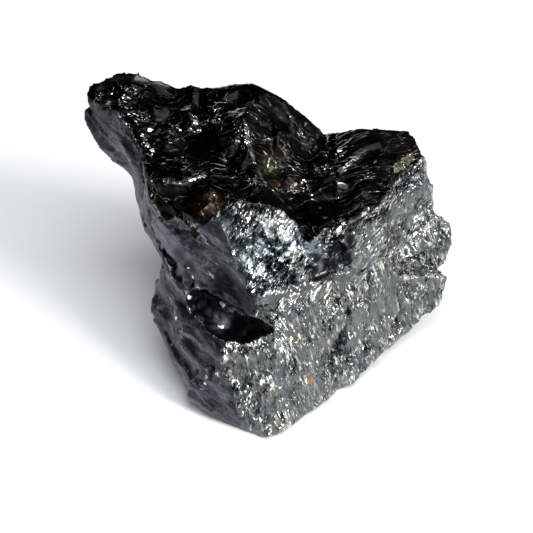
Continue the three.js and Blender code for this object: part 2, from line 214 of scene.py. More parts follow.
# The broken crest between the glassy top and the front: its line and half width.
CREST_LINE = (
    (8.0, -6.6, 23.0), (9.2, -6.0, 23.8), (10.8, -4.4, 24.2), (12.9, -3.0, 24.4), (15.2, -0.8, 24.4),
    (16.5, 1.5, 25.2), (18.5, 5.0, 26.0), (20.0, 7.5, 26.5),
)
CREST_REACH = 2.2
CREST_HIGHLIGHT_REACH = 0.55  # of the line of painted highlight along each single crest

# The pale saddle between the two deep ends of the cavity: middle, half width.
SADDLE = (((-5.6, -8.6, 11.6), 1.8), ((-7.0, -10.2, 11.0), 1.6))

# Painted shade, duller and darker than the stone around: the recess over the cavity, the hollows and pits
# of the front, the horn's left end, the notch in the top, and single ones elsewhere. Middle, half width.
PAINTED_SHADE_PLACES = (
    ((-6.5, -8.5, 17.0), 3.5), ((-3.0, -10.5, 16.0), 3.0), ((9.3, -6.0, 21.1), 2.2),
    ((8.5, -6.7, 18.8), 1.9), ((11.0, -5.2, 21.6), 1.6), ((10.4, -5.9, 19.3), 1.8),
    ((6.0, -7.4, 18.9), 1.3), ((6.5, -6.8, 20.4), 1.1), ((7.0, -8.2, 17.8), 1.4), ((3.0, -9.0, 18.5), 1.6),
    ((10.0, -9.0, 8.2), 1.7), ((10.9, -7.9, 11.9), 1.0), ((9.0, -9.9, 5.4), 1.2), ((9.7, -9.1, 6.1), 1.3),
    ((-4.3, -16.0, 5.8), 1.1), ((13.8, -6.7, 4.8), 1.3), ((18.1, -1.7, 5.0), 1.1),
    ((-25.0, 16.8, 28.5), 4.0), ((-24.5, 15.3, 26.0), 2.8), ((-22.6, 14.2, 27.0), 2.4),
    ((-22.9, 13.9, 24.2), 2.4), ((8.0, 0.2, 25.2), 3.0), ((7.5, -3.5, 24.4), 3.0), ((4.1, 3.0, 25.5), 1.2),
    ((-2.6, 6.9, 30.4), 1.2), ((-8.0, -4.2, 23.6), 1.6), ((-5.0, -3.7, 25.6), 1.7),
    ((-3.5, -4.5, 24.8), 1.1), ((-1.2, -4.6, 26.7), 1.2), ((-11.5, -4.3, 19.1), 1.7),
    ((-10.3, -5.5, 18.1), 1.6),
)

# The worn back rim of the top: its line and half width.
BACK_RIM = (
    (-25.0, 18.5, 30.5), (-23.1, 19.4, 31.4), (-18.5, 19.2, 32.4), (-12.6, 17.8, 31.4), (-7.1, 16.8, 32.0),
    (-2.3, 15.8, 33.0), (1.8, 13.6, 31.8), (5.9, 12.4, 28.6), (8.5, 12.4, 27.4), (13.0, 11.2, 29.0),
    (18.0, 10.8, 28.8), (20.5, 9.5, 27.0),
)
RIM_REACH = 1.6

# Smooth slivers of glass along the horn's back rim, painted pale as a painted reflection, and the smooth
# bluish plate beside the bulge.
SLIVER = ((-21.4, 19.0, 31.8), (-18.5, 18.6, 32.3), (-16.1, 18.7, 32.0), (-13.6, 18.2, 31.5))
PLATE = (((5.0, -5.9, 23.1), 1.3), ((5.8, -6.5, 23.2), 1.9), ((6.2, -6.7, 21.6), 1.9))

SLIVER_REACH = 0.5

# Single bright glints: middle, half width.
GLINTS = (
    ((7.7, -4.0, 25.0), 0.42), ((6.5, -2.6, 24.4), 0.25), ((7.1, -1.3, 24.5), 0.25),
    ((8.8, 5.0, 26.5), 0.3), ((5.4, 2.3, 25.0), 0.35), ((5.9, 0.5, 25.4), 0.25), ((8.7, 3.3, 26.2), 0.3),
    ((-6.6, -3.2, 25.9), 0.3), ((-9.6, 11.7, 29.5), 0.45), ((-15.9, 11.2, 28.5), 0.34),
    ((-14.7, 9.4, 28.1), 0.3), ((-13.9, 6.2, 27.4), 0.26), ((-12.9, 1.1, 27.2), 0.3),
    ((-12.2, 0.9, 27.2), 0.36), ((-11.4, 0.8, 27.2), 0.3), ((-10.1, 1.1, 27.3), 0.34),
    ((-9.5, 1.4, 27.4), 0.3), ((-8.9, 1.8, 27.4), 0.36), ((-5.9, -7.4, 13.2), 0.4),
    ((-5.6, -7.8, 12.8), 0.36), ((-5.8, -9.7, 11.0), 0.3), ((-6.3, -9.6, 11.0), 0.22),
    ((-9.1, -7.0, 15.3), 0.3), ((-10.4, -6.8, 13.9), 0.25), ((-10.2, -6.3, 15.8), 0.22),
    ((9.0, -6.1, 21.6), 0.34), ((9.9, -5.7, 20.4), 0.3), ((8.6, -6.7, 19.4), 0.34),
    ((9.6, -6.2, 18.9), 0.3), ((8.1, -6.8, 21.9), 0.28), ((10.4, -5.2, 21.6), 0.28),
    ((10.5, -4.5, 24.5), 0.3), ((13.4, -2.6, 25.2), 0.22), ((-16.9, 9.8, 28.6), 0.3),
    ((-16.3, 9.1, 28.3), 0.24), ((-16.0, 8.4, 28.1), 0.32), ((-15.4, 7.6, 27.6), 0.26),
    ((-17.2, 10.4, 28.7), 0.22), ((-15.2, 8.6, 28.1), 0.22), ((-9.8, -6.0, 16.5), 0.3),
    ((-9.1, -6.5, 14.9), 0.42), ((-10.3, -6.7, 13.7), 0.34), ((-5.8, -7.8, 13.3), 0.45),
    ((-12.1, -7.5, 10.7), 0.3), ((-8.0, -13.9, 5.9), 0.28), ((-8.2, -14.2, 4.9), 0.26),
    ((-10.4, -5.5, 17.7), 0.2), ((-12.8, -8.3, 6.7), 0.2),
)

# What the material reads of the skin, one number at each point.
PLACES = {
    "rust": RUST, "brown": BROWN, "olive": OLIVE, "straw": STRAW, "bulge": BULGE, "glare": GLARE,
    "dim": PAINTED_SHADE_PLACES, "saddle": SADDLE, "plate": PLATE, "bright": PAINTED_LIGHT_PLACES, "ruled": RULED, "haze": HAZE,
    "shelf": SHELF,
}
SKIN_NUMBERS = (
    "glassy", "satin", "cavity", "calm", "glitter", "crest", "worn", "sliver", "edge", "turned", "shoulder",
    *PLACES,
)

# Tones from dark to bright flakes, folds or patches: place on the ramp, colour. The brightest flakes of the
# grain, the bulge and the crest are painted glints, and the bulge's bluish-white ones a painted sky
# reflection.
GRAIN_TONES_AND_GLINTS = (
    (0.14, (0.012, 0.014, 0.016)), (0.30, (0.07, 0.078, 0.082)), (0.42, (0.145, 0.152, 0.154)),
    (0.52, (0.204, 0.211, 0.206)), (0.60, (0.29, 0.30, 0.285)), (0.67, (0.5, 0.5, 0.46)),
    (0.76, (0.92, 0.91, 0.84)),
)
BULGE_TONES_AND_GLINTS = (
    (0.22, (0.006, 0.008, 0.01)), (0.38, (0.035, 0.045, 0.05)), (0.48, (0.11, 0.13, 0.14)),
    (0.58, (0.24, 0.28, 0.30)), (0.70, (0.70, 0.78, 0.82)), (0.82, (0.92, 0.96, 0.97)),
)
CREST_TONES_AND_GLINTS = (
    (0.34, (0.008, 0.009, 0.01)), (0.48, (0.05, 0.052, 0.052)), (0.60, (0.2, 0.205, 0.2)),
    (0.72, (0.85, 0.84, 0.8)),
)
WARMTH_TONES = ((0.4, (0.93, 0.985, 1.0)), (0.6, (1.0, 0.98, 0.92)))
SATIN_TONES = (
    (0.33, (0.036, 0.036, 0.043)), (0.44, (0.062, 0.062, 0.073)), (0.54, (0.092, 0.092, 0.11)),
    (0.66, (0.15, 0.15, 0.176)),
)
GLASS_TONES = ((0.35, (0.0045, 0.004, 0.0037)), (0.65, (0.012, 0.0106, 0.0094)))
HOLLOW_TONES = ((0.35, (0.006, 0.006, 0.007)), (0.65, (0.017, 0.018, 0.020)))

# Single colours of the sparkling, the satin and the glassy fracture, among them painted shade, painted
# highlights and a painted reflection, and of the stains.
PLATE_BLUE = (0.27, 0.305, 0.345)
SHELF_SHADE_GRAY = (0.115, 0.121, 0.119)
GRAIN_PAINTED_SHADE = (0.012, 0.013, 0.014)
FOLD_PALE = (0.26, 0.26, 0.29)
SEAM_DARK = (0.012, 0.012, 0.015)
CHIP_DARK = (0.014, 0.014, 0.017)
CHIP_PALE = (0.26, 0.26, 0.28)
SATIN_PAINTED_SHADE = (0.016, 0.016, 0.019)
HAZE_BROWN = (0.026, 0.022, 0.017)
GLASS_CALM = (0.005, 0.0042, 0.0041)
GLASS_PAINTED_SHADE = (0.002, 0.002, 0.002)
RULE_GRAY = (0.19, 0.18, 0.165)
SLIVER_REFLECTION_GRAY = (0.085, 0.082, 0.078)
RIDGE_HIGHLIGHT_PALE = (0.3, 0.295, 0.28)
CREST_HIGHLIGHT_PALE = (0.42, 0.41, 0.385)
PAINTED_SPLINTER_GLINT = (0.75, 0.71, 0.65)
SADDLE_GRAY = (0.10, 0.104, 0.12)
GLINT_WHITE = (0.85, 0.84, 0.82)
# Name, where it starts and is full, its greatest share, colour.
STAINS = (
    ("brown", 0.1, 0.7, 0.5, (0.12, 0.075, 0.046)), ("olive", 0.1, 0.8, 0.6, (0.08, 0.077, 0.05)),
    ("rust", 0.35, 0.5, 0.95, (0.55, 0.24, 0.12)), ("straw", 0.35, 0.5, 0.85, (0.5, 0.48, 0.36)),
)

# Widths of flakes, how much longer than wide the patterns of each fracture are, and sizes of soft patterns.
THREAD, FINE, FLECK, MIDDLING, COARSE = 0.16 * MM, 0.17 * MM, 0.42 * MM, 0.36 * MM, 0.8 * MM
GRAIN_STRETCH, FOLD_STRETCH, FLECK_STRETCH, PLATE_STRETCH = 3.2, 5.0, 2.2, 5.0
BLOB_STRETCH, BLOTCH_STRETCH = 1.8, 2.0
HACKLE_STRETCH, LONG_STRETCH, RULED_STRETCH = 3.5, 9.0, 20.0
RAGGED_SIZE, PATCH_SIZE, CLUMP_SIZE = 0.5 * MM, 3.6 * MM, 2.4 * MM
WARMTH_SIZE, BLOTCH_SIZE, FOLD_SIZE, HOLLOW_SIZE = 1.8 * MM, 1.2 * MM, 2.0 * MM, 1.6 * MM
MIDDLE = (0.5, 0.5, 0.5)  # of the colours that noise and flakes give

# Thin lines: the size of the noise that they follow, and their half width in its value.
RIDGE_LINES = (0.8 * MM, 0.035)
CROSS_LINES = (2.4 * MM, 0.016)
RULES = (0.55 * MM, 0.05)
FOLD_LINES = (1.7 * MM, 0.03)
SEAM_LINES = (2.6 * MM, 0.022)
STROKES = (0.8 * MM, 0.09)

# The stage, in metres and degrees.
FLOOR_HALF = 3.0
FLOOR_WHITE = (0.9, 0.9, 0.9, 1)
# A warm key from the front right, a cooler, broad one from high up, and a low fill from behind: name, the
# way to it, strength, width, colour.
SUNS = (
    ("key", (0.70, -0.50, 0.51), 2.3, 16, (1.0, 0.97, 0.93)),
    ("sky", (0.12, -0.32, 0.94), 1.8, 46, (0.88, 0.94, 1.0)),
    ("back", (-0.35, 0.92, 0.12), 1.2, 30, (0.95, 0.97, 1.0)),
)
WINDOW_WAY = (0.62, -0.70, 0.35)
ROOM_DARK = (0.06, 0.06, 0.062)
ROOM_LIGHT = (0.75, 0.77, 0.8)
LOOK_DOWN = 38
DISTANCE = 0.24
AIM = Vector((0, -2, 15.2)) * MM
LENS = 120


def smoothstep(low, high, value):
    """0 below low, 1 above high, and the curve 3t^2 - 2t^3 between."""
    t = np.clip((value - low) / (high - low), 0, 1)
    return t * t * (3 - 2 * t)


def axes(along, facing):
    """Three unit vectors as columns: along, across, and out of the face."""
    out = np.array(facing, float)
    out /= np.linalg.norm(out)
    across = np.cross(out, along)
    across /= np.linalg.norm(across)
    return np.stack([np.cross(across, out), across, out], axis=1)


def scattered(cells, seed):
    """A repeatable random vector, each part from -1 to 1, for each whole-numbered cell: its three numbers
    are multiplied by large primes, mixed and scrambled."""
    mixed = (cells.astype(np.int64) * np.array([73856093, 19349663, 83492791])).sum(axis=1) + seed * 7919
    parts = []
    for turn in range(3):
        n = (mixed + turn * 15485863).astype(np.uint32)
        n ^= n >> np.uint32(16)
        n *= np.uint32(0x7FEB352D)
        n ^= n >> np.uint32(15)
        n *= np.uint32(0x846CA68B)
        n ^= n >> np.uint32(16)
        parts.append(n / 2147483648.0 - 1.0)
    return np.stack(parts, axis=1)


def swell(points, size, seed):
    """Smooth noise from about -1 to 1: a random slope at each corner of cubes of that size, blended between
    them by 6t^5 - 15t^4 + 10t^3."""
    q = points / size
    base = np.floor(q)
    part = q - base
    fade = part**3 * (part * (part * 6 - 15) + 10)
    total = np.zeros(len(q))
    for corner in np.ndindex(2, 2, 2):
        slope = scattered(base + corner, seed)
        share = np.prod(np.where(np.array(corner, bool), fade, 1 - fade), axis=1)
        total += share * np.sum(slope * (part - corner), axis=1)
    return total * 1.5


def swells(points, size, *seeds):
    """Smooth noise in each of three directions, as vectors."""
    return np.stack([swell(points, size, seed) for seed in seeds], axis=1)


def neighbours(q, seed):
    """The 27 unit cubes in and around each point's own, one at a time, with their random vectors."""
    base = np.floor(q)
    for step in np.ndindex(3, 3, 3):
        cell = base + np.array(step) - 1
        yield cell, scattered(cell, seed)


def scars(points, size, seed, unevenness=0.3):
    """Shell-shaped scars: each scattered seed, one in each cube of that size, owns a bowl whose height is
    the distance to the seed squared plus a random start, and the lowest bowl counts, so that sharp crests
    are left between bowls. Gives the height, 0 to about 1, and the way from the lowest bowl's seed."""
    q = points / size
    height = np.full(len(q), 1e9)
    away = np.zeros_like(q)
    for cell, place in neighbours(q, seed):
        offset = q - (cell + 0.5 + 0.5 * place)
        bowl = np.sum(offset**2, axis=1) + unevenness * place[:, 0] * place[:, 1]
        lower = bowl < height
        height[lower] = bowl[lower]
        away[lower] = offset[lower]
    return height, away


def chips(points, size, slope, seed):
    """Broken facets, in mm: space is shared out among scattered seeds, one in each cube of that size, and
    each share is a tilted plane through its seed, up to that slope along each axis, with steps where shares
    meet."""
    q = points / size
    nearest = np.full(len(q), 1e9)
    height = np.zeros(len(q))
    for cell, place in neighbours(q, seed):
        offset = q - (cell + 0.5 + 0.5 * place)
        distance = np.sum(offset**2, axis=1)
        closer = distance < nearest
        nearest[closer] = distance[closer]
        height[closer] = np.sum(scattered(cell[closer], seed + 1) * offset[closer], axis=1)
    return height * size * slope


def pitted(points, size, share, seed):
    """Small scattered pits: that share of cubes of that size holds one, 1 deep in its middle and 0 at its
    rim."""
    q = points / size
    depth = np.zeros(len(q))
    for cell, place in neighbours(q, seed):
        offset = np.linalg.norm(q - (cell + 0.5 + 0.4 * place), axis=1)
        there = scattered(cell, seed + 1)[:, 0] < 2 * share - 1
        depth = np.maximum(depth, there * (1 - smoothstep(0.12, 0.4, offset)))
    return depth


def even_skin(node):
    """The CAD solid's own skin as an even net of squares: its doubles merged, then remeshed. Gives the
    points in millimetres and the squares. A horned, undercut stone has no even grid of its own."""
    mesh = bpy.data.meshes.new("skin")
    merged = bmesh.new()
    merged.from_mesh(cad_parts[node].data)
    bmesh.ops.remove_doubles(merged, verts=merged.verts, dist=0.001 * MM)
    merged.to_mesh(mesh)
    merged.free()
    skin = bpy.data.objects.new("skin", mesh)
    bpy.context.collection.objects.link(skin)
    remesh = skin.modifiers.new("even", "REMESH")
    remesh.mode = "VOXEL"
    remesh.voxel_size = SKIN_STEP * MM
    even = skin.evaluated_get(bpy.context.evaluated_depsgraph_get()).to_mesh()
    points = np.empty(len(even.vertices) * 3)
    even.vertices.foreach_get("co", points)
    squares = np.empty(len(even.polygons) * 4, dtype=np.int32)
    even.polygons.foreach_get("vertices", squares)
    bpy.data.objects.remove(skin)
    bpy.data.meshes.remove(mesh)
    return points.reshape(-1, 3) / MM, squares.reshape(-1, 4)


def spread(values, squares, rounds, share=0.5):
    """Each point's value moves a share of the way to the mean of its neighbours', so many rounds."""
    count = len(values)
    ends = np.concatenate([squares, np.roll(squares, -1, axis=1)]).ravel()
    heads = np.concatenate([np.roll(squares, -1, axis=1), squares]).ravel()
    total = np.bincount(ends, minlength=count)
    columns = values.reshape(count, -1).copy()
    for _ in range(rounds):
        for axis in range(columns.shape[1]):
            mean = np.bincount(ends, weights=columns[heads, axis], minlength=count) / total
            columns[:, axis] += share * (mean - columns[:, axis])
    return columns.reshape(values.shape)


def softened(points, squares, rounds):
    """The points smoothed without shrinking: each round draws them in to their neighbours and then lets
    them out again by a little more."""
    for _ in range(rounds):
        points = spread(spread(points, squares, 1, 0.5), squares, 1, -0.53)
    return points


def normals(points, squares):
    """Outward unit normals: each square's normal is the cross product of its diagonals, summed at its
    corners."""
    a, b, c, d = (points[squares[:, k]] for k in range(4))
    flat = np.repeat(np.cross(c - a, d - b), 4, axis=0)
    corners = squares.ravel()
    total = [np.bincount(corners, weights=column, minlength=len(points)) for column in flat.T]
    total = np.stack(total, axis=1)
    return total / np.linalg.norm(total, axis=1)[:, None]


def closeness(points, line, reach):
    """1 on the line, 0 from reach on: one minus the distance to the nearest of its straight stretches over
    the reach."""
    distance = np.full(len(points), 1e9)
    for start, end in zip(np.array(line[:-1], float), np.array(line[1:], float)):
        run = end - start
        t = np.clip((points - start) @ run / (run @ run), 0, 1)
        distance = np.minimum(distance, np.linalg.norm(points - start - t[:, None] * run, axis=1))
    return np.clip(1 - distance / reach, 0, 1)


def spots(points, places):
    """1 in the middle of each place, falling smoothly to 0 at its half width."""
    most = np.zeros(len(points))
    for middle, reach in places:
        most = np.maximum(most, 1 - smoothstep(0.3, 1, np.linalg.norm(points - middle, axis=1) / reach))
    return most


def cavity_depth(points):
    """1 on the cavity's wall, more outside it: the least of the distances to the middles of the ellipsoids
    strung along the cavity, each in its own half lengths."""
    turn = axes(*CAVITY_RUN)
    middles = np.array([middle for middle, _ in CAVITY], float)
    halves = np.array([half for _, half in CAVITY], float)
    knots = np.arange(len(CAVITY))
    least = np.full(len(points), 1e9)
    for place in np.linspace(0, len(CAVITY) - 1, CAVITY_BEADS):
        middle = np.array([np.interp(place, knots, column) for column in middles.T])
        half = np.array([np.interp(place, knots, column) for column in halves.T])
        least = np.minimum(least, np.linalg.norm((points - middle) @ turn / half, axis=1))
    return least


def above_turn(points):
    """How far each point lies above the slanting line where the front's grain changes its way, in mm."""
    return points[:, 2] - GRAIN_TURN - GRAIN_TURN_RISE * points[:, 0]


def finishes(points, facing):
    """How much of each point is glassy, satin and sparkling, as three columns that add up to one, and how
    much of it lies in the cavity. Each border is a smoothstep across a rim line, a seam line or the way the
    surface faces, and wanders with smooth noise."""
    x, y, z = points.T
    wander = 0.9 * swell(points, 3.0, 11) + 0.5 * swell(points, 1.2, 14)
    rim = np.interp(x, *zip(*TOP_RIM))
    seam = np.interp(z, *zip(*FACE_SEAM))
    top = smoothstep(-0.4, 0.4, y - rim + 0.5 * wander) * smoothstep(0, 0.9, z - TOP_FLOOR + wander)
    top *= smoothstep(-0.05, 0.35, facing[:, 2] + 0.15 * wander)
    inside = 1 - smoothstep(1.02, 1.14, cavity_depth(points))
    glassy = np.maximum(top, inside)
    left = 1 - smoothstep(-0.8, 0.8, x - seam + 2.2 * wander)
    behind = smoothstep(-0.1, 0.4, facing[:, 1] + 0.3 * swell(points, 9.0, 12))
    leftward = facing @ np.array((-0.85, 0.1, -0.5))
    patches = smoothstep(-0.12, 0.12, leftward + 0.12 * wander)
    satin = left * (1 - behind) + patches * behind
    satin *= 1 - glassy
    return np.stack([glassy, satin, 1 - glassy - satin], axis=1), inside


def relief(points, weights, calm, glitter, behind):
    """How far each point stands out of the smooth form, in mm, with the way from the start of its fracture
    shell. Each finish mixes shell scars, swells, ledges and pits of its own sizes, drawn out along the way
    that its fracture runs, and the back has broad scars and ledges over them."""
    glassy, satin, sparkling = weights.T
    bent = points + 0.45 * swells(points, 2.8, 21, 22, 23)
    turn = smoothstep(-2, 2, above_turn(points))
    low = bent @ axes(*GRAIN_LOW) / GRAIN_LENGTHS
    high = bent @ axes(*GRAIN_HIGH) / GRAIN_LENGTHS
    folds = bent @ axes(*SATIN_RUN) / FOLD_LENGTHS
    on_shoulder = (points[:, 0] > SHOULDER_START)[:, None]
    hackles = np.where(on_shoulder, bent @ axes(*SHOULDER_RUN), bent @ axes(*GLASS_RUN)) / HACKLE_LENGTHS

    stir = 1 - 0.8 * calm
    busy = (0.25 + 0.75 * smoothstep(0.5, 0.95, glitter)) * stir
    shells, away = scars(hackles, SHELL_SIZE, 41)
    on_glass = stir * (0.8 * (shells - SCAR_MEAN) + chips(hackles, 3.2, 0.10, 42))
    on_glass += busy * (chips(bent, 1.5, 0.10, 43) + chips(hackles, 0.8, 0.06, 44))

    dents, _ = scars(folds, SHELL_SIZE, 50)
    on_satin = 0.29 * (dents - SCAR_MEAN) + chips(folds, 3.4, 0.085, 51) + 0.12 * swell(folds, 1.3, 52)
    on_satin += chips(folds, 1.0, 0.045, 53) - 0.25 * pitted(points, 2.6, 0.15, 55)

    broad, _ = scars(bent, 5.0, 60)
    fine = chips(low, 0.95, 0.17, 61) * (1 - turn) + chips(high, 0.95, 0.17, 62) * turn
    on_grain = 0.5 * (broad - SCAR_MEAN) + chips(bent, 3.2, 0.10, 63) + stir * chips(low, 1.8, 0.15, 64)
    on_grain += stir * (0.4 + 0.8 * glitter) * fine
    on_grain += 0.2 * swell(bent, 3.0, 66) - 0.25 * stir * pitted(points, 2.0, 0.2, 67)

    height = glassy * on_glass + satin * on_satin + sparkling * on_grain
    struck, _ = scars(bent, 8.0, 45)
    height = height + behind * (1.7 * (struck - SCAR_MEAN) + chips(bent, 5.5, 0.16, 46))
    for line, rise, reach in CRESTS:
        height = height + rise * closeness(bent, line, reach) ** 1.5
    torn = bent + 0.35 * swells(points, 0.9, 24, 25, 26)
    for middle, reach, depth in PITS:
        height = height - depth * spots(torn, ((middle, reach),))
    return height, away * SHELL_SIZE


def weathered(points, squares):
    """The finished skin: softened, most in the cavity, then roughened by the relief along the broad form's
    normals, with its foot left flat. Gives the points, and the numbers that the material reads."""
    foot = points[:, 2] < FOOT_HEIGHT
    smooth = spread(points, squares, SMOOTHING_ROUNDS)
    points = softened(points, squares, SOFTENING_ROUNDS)
    near = 1 - smoothstep(1.0, 1.8, cavity_depth(points))
    torn = swells(points, 2.2, 27, 28, 29) + 0.6 * swells(points, 0.9, 27, 28, 29)
    broad = spread(normals(points, squares), squares, BROAD_ROUNDS)
    broad /= np.linalg.norm(broad, axis=1)[:, None]
    weights, inside = finishes(points, broad)
    core = smoothstep(0.1, 0.9, spread(inside, squares, 2))
    crack = smoothstep(0.0, 0.5, closeness(points, CRACK, 2.2))
    lips = np.maximum(crack, spots(points, (FRONT_HOLLOW,)))
    points += core[:, None] * (smooth - points) + (CAVITY_TEAR * near + LIP_TEAR * lips)[:, None] * torn

    crest = smoothstep(0.0, 0.6, closeness(points, CREST_LINE, CREST_REACH))
    calm = spots(points, CALM) * (1 - crest)
    calm = np.maximum(calm, 0.9 * smoothstep(0.0, 0.6, closeness(points, BACK_RIM, RIM_REACH)))
    glitter = smoothstep(-0.25, 0.35, swell(points, 4.2, 70) + 0.6 * swell(points, 1.7, 71))
    glitter = np.maximum(glitter, spots(points, CLUSTERS)) * (1 - calm)
    backward = np.maximum(broad[:, 1], broad @ np.array((-0.75, 0.66, 0.0)) - 0.45)
    behind = smoothstep(0.2, 0.7, backward) * (1 - weights[:, 0])

    height, away = relief(points, weights, calm, glitter, behind)
    height *= smoothstep(0.0, FOOT_FADE, points[:, 2]) * (1 - CAVITY_CALM * core)
    points += broad * height[:, None]
    points[foot, 2] = 0
    edge = np.sum((points - spread(points, squares, BROAD_ROUNDS)) * broad, axis=1)
    worn = np.max([closeness(points, line, CREST_HIGHLIGHT_REACH) for line, rise, _ in CRESTS if rise > 0], axis=0)
    sliver = closeness(points, SLIVER, SLIVER_REACH)
    low, high = (np.array(corner) / MM for corner in cad_box)
    return np.clip(points, low, high), {
        "glassy": weights[:, 0], "satin": weights[:, 1], "cavity": core, "calm": calm, "glitter": glitter,
        "crest": crest, "worn": smoothstep(0.1, 0.6, worn), "sliver": smoothstep(0.0, 0.4, sliver),
        "edge": np.clip(edge / EDGE_HEIGHT, -1, 1), "away": away,
    }


def stone():
    """The nugget: an even skin of the solid with its relief, and its finishes and stains as attributes."""
    points, squares = even_skin("nugget")
    points, columns = weathered(points, squares)
    away = columns.pop("away")
    for name, places in PLACES.items():
        columns[name] = spots(points, places)
    columns["turned"] = smoothstep(-GRAIN_TURN_REACH, GRAIN_TURN_REACH, above_turn(points))
    columns["shoulder"] = smoothstep(SHOULDER_START - 0.5, SHOULDER_START + 0.5, points[:, 0])
    mesh = bpy.data.meshes.new("shungite_nugget")
    mesh.from_pydata(points * MM, [], squares)
    mesh.polygons.foreach_set("use_smooth", np.ones(len(squares), bool))
    for name in SKIN_NUMBERS:
        mesh.attributes.new(name, "FLOAT", "POINT").data.foreach_set("value", columns[name])
    mesh.attributes.new("away", "FLOAT_VECTOR", "POINT").data.foreach_set("vector", away.ravel())
    mesh.update()
    piece = bpy.data.objects.new("shungite_nugget", mesh)
    bpy.context.collection.objects.link(piece)
    return piece


class Value:
    """What a node gives: a number, a colour or a vector. Numbers are added, subtracted and multiplied with
    one more node each."""

    def __init__(self, socket):
        self.socket = socket
        self.tree = socket.id_data

    def __add__(self, other):
        return maths("ADD", self, other)

    def __sub__(self, other):
        return maths("SUBTRACT", self, other)

    def __mul__(self, other):
        return maths("MULTIPLY", self, other)


def fill(sockets, values):
    """The sockets in order: each is linked to what comes from a node, left for None, else set."""
    for socket, value in zip(sockets, values):
        if isinstance(value, Value):
            value.tree.links.new(value.socket, socket)
        elif value is not None:
            socket.default_value = value


def feed(node, inputs):
    """The node's inputs by name."""
    fill([node.inputs[name] for name in inputs], inputs.values())


def put(kind, *values, tree=None, **settings):
    """A node with its settings, and its inputs in order, in the tree that its first value comes from."""
    node = (tree or values[0].tree).nodes.new("ShaderNode" + kind)
    for name, setting in settings.items():
        setattr(node, name, setting)
    fill(node.inputs, values)
    return node


def maths(operation, *values):
    """The number that an operation on numbers gives."""
    return Value(put("Math", *values, operation=operation).outputs[0])


def vectors(operation, *values):
    """The vector that an operation on vectors gives."""
    return Value(put("VectorMath", *values, operation=operation).outputs["Vector"])


def measure(operation, *values):
    """The number that an operation on vectors gives."""
    return Value(put("VectorMath", *values, operation=operation).outputs["Value"])


def scaled(vector, factor):
    """The vector times a number."""
    return vectors("SCALE", vector, None, None, factor)


def blend(share, first, second):
    """A colour or a vector: first where share is 0, second where it is 1."""
    mix = put("Mix", tree=share.tree, data_type="RGBA")
    ends = ((*end, 1) if isinstance(end, tuple) else end for end in (first, second))
    fill([socket for socket in mix.inputs if socket.enabled], (share, *ends))
    return Value(next(socket for socket in mix.outputs if socket.enabled))


def layered(colour, *layers):
    """The colour under layers, each with its share and its own colour."""
    for share, over in layers:
        colour = blend(share, colour, over)
    return colour


def mapped(value, low, high, start=0.0, end=1.0):
    """The value carried from low..high to start..end and held there."""
    return Value(put("MapRange", value, low, high, start, end, clamp=True).outputs[0])


def fading(share, least=0.0):
    """1 where the share is 0, and the least where it is 1."""
    return mapped(share, 0.0, 1.0, 1.0, least)


def noise(where, size, detail=2.0, roughness=0.5, output="Fac"):
    """Smooth noise of that size in metres: its value, or its colour."""
    node = put("TexNoise", where, noise_dimensions="3D")
    feed(node, {"Scale": 1 / size, "Detail": detail, "Roughness": roughness})
    return Value(node.outputs[output])


def drawn_out(where, run, stretch):
    """Coordinates in which a pattern comes out that many times longer along the run than across it."""
    lengths = (stretch, 1, 1)
    rows = [tuple(column / length) for column, length in zip(axes(*run).T, lengths)]
    return Value(put("CombineXYZ", *(measure("DOT_PRODUCT", where, row) for row in rows)).outputs[0])


def ramp(value, stops):
    """The colour at the value, between stops of a place and a colour."""
    node = put("ValToRGB", value)
    elements = node.color_ramp.elements
    while len(elements) < len(stops):
        elements.new(1.0)
    for element, (place, colour) in zip(elements, stops):
        element.position = place
        element.color = (*colour, 1)
    return Value(node.outputs["Color"])


def channel(colour, name):
    """One of a colour's three parts, X, Y or Z."""
    return Value(put("SeparateXYZ", colour).outputs[name])


def about_middle(colour):
    """A colour's way from the middle gray, as a vector."""
    return vectors("SUBTRACT", colour, MIDDLE)


def flakes(where, size):
    """Small broken flakes of that size: a random colour for each, and its slant, which runs from one side
    of the flake to the other: the way from its middle along its random colour."""
    node = put("TexVoronoi", where, voronoi_dimensions="3D", feature="F1")
    feed(node, {"Scale": 1 / size})
    colour = Value(node.outputs["Color"])
    off = vectors("SUBTRACT", where, Value(node.outputs["Position"]))
    return colour, measure("DOT_PRODUCT", scaled(off, 2 / size), about_middle(colour))


def lines(where, size, width):
    """Thin wandering lines, 1 in their middle: where smooth noise of that size crosses its middle value."""
    return mapped(maths("ABSOLUTE", noise(where, size, 1.5) - 0.5), 0.0, width, 1.0, 0.0)


def streaks(where, size, strength, detail=2.0):
    """A lean that changes smoothly: the noise's colour about the middle, as a vector."""
    return scaled(about_middle(noise(where, size, detail, 0.6, "Color")), strength)


def lean_of(colour, strength, rarity=False):
    """A lean from a random colour: the colour about the middle, as a vector. With rarity, most cells lean a
    little and a few lean far, by the lean times its own length."""
    lean = about_middle(colour)
    if rarity:
        lean = scaled(lean, measure("LENGTH", lean) * 2.0)
    return scaled(lean, strength)


def dots(where, places):
    """1 inside the nearest of the places, which are in millimetres, with uneven rims."""
    uneven = vectors("ADD", where, streaks(where, 0.3 * MM, 0.5 * MM))
    most = 0.0
    for middle, reach in places:
        away = measure("DISTANCE", uneven, tuple(Vector(middle) * MM))
        most = maths("MAXIMUM", mapped(away, 0.7 * reach * MM, reach * MM, 1.0, 0.0), most)
    return most


